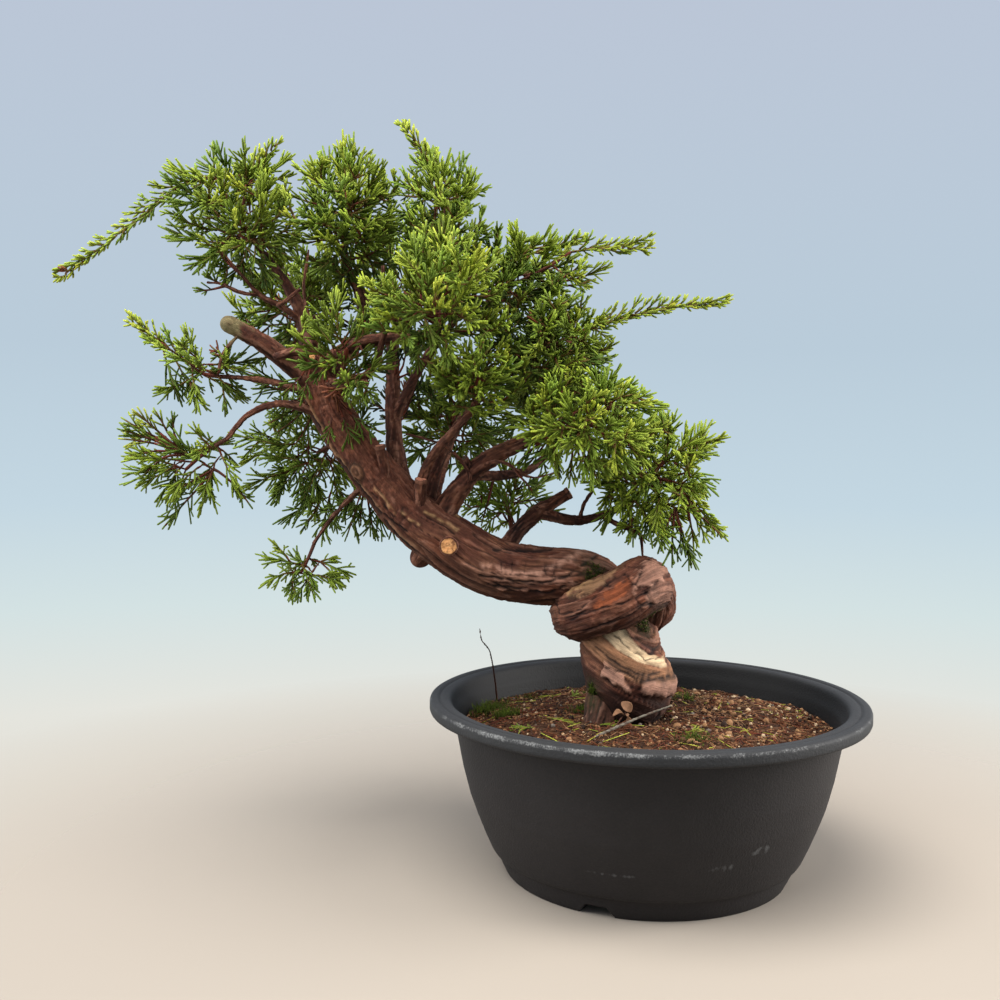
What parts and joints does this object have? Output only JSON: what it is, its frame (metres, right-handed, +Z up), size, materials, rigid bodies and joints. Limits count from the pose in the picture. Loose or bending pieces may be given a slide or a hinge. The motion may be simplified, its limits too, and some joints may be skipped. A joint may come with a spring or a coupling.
{
  "type": "potted juniper bonsai",
  "caption": "Juniper bonsai with a coiled, leaning trunk and an airy crown of fine scale-leaf sprays, standing in a round stepped plastic training pot.",
  "frame": {"origin": "centre of the pot's flat underside", "axes": "+Z up; +X to the right as the tree's front is seen; +Y away from that front, into the picture"},
  "size_m": [0.446, 0.24, 0.411],
  "materials": {
    "pot_plastic": "dark grey, fine leathery stipple, worn pale along the rim",
    "soil": "brown gravelly potting grains, matt",
    "trunk_bark": "rough fissured bark with a strip of bare pale wood",
    "bough_bark": "rough flaking bark",
    "foliage": "matt green scale leaves on red-brown twigs"
  },
  "bodies": {
    "root": {"pot": "pot_plastic", "soil": "soil", "trunk": "trunk_bark", "bough_top_left": "bough_bark", "bough_top": "bough_bark", "bough_spike": "bough_bark", "bough_cross": "bough_bark", "bough_back_up": "bough_bark", "bough_rear_right": "bough_bark", "bough_middle_right": "bough_bark", "bough_centre": "bough_bark", "bough_right": "bough_bark", "bough_back_right": "bough_bark", "bough_low_right": "bough_bark", "branch_low_right": "bough_bark", "bough_cut_left": "bough_bark", "bough_left": "bough_bark", "bough_left_low": "bough_bark", "bough_under": "bough_bark", "bough_hanging": "bough_bark", "bough_back_low": "bough_bark", "bough_back_left": "bough_bark", "foliage_upper_left": "foliage", "foliage_top": "foliage", "foliage_spike": "foliage", "foliage_upper_right": "foliage", "foliage_right": "foliage", "foliage_low_right": "foliage", "foliage_front": "foliage", "foliage_left": "foliage", "foliage_left_low": "foliage", "foliage_under": "foliage", "foliage_hanging": "foliage", "foliage_inner": "foliage", "foliage_back": "foliage", "foliage_low_back": "foliage", "foliage_back_top": "foliage", "foliage_back_right": "foliage", "foliage_front_top": "foliage", "foliage_centre": "foliage", "foliage_back_left": "foliage"}
  },
  "joints": []
}
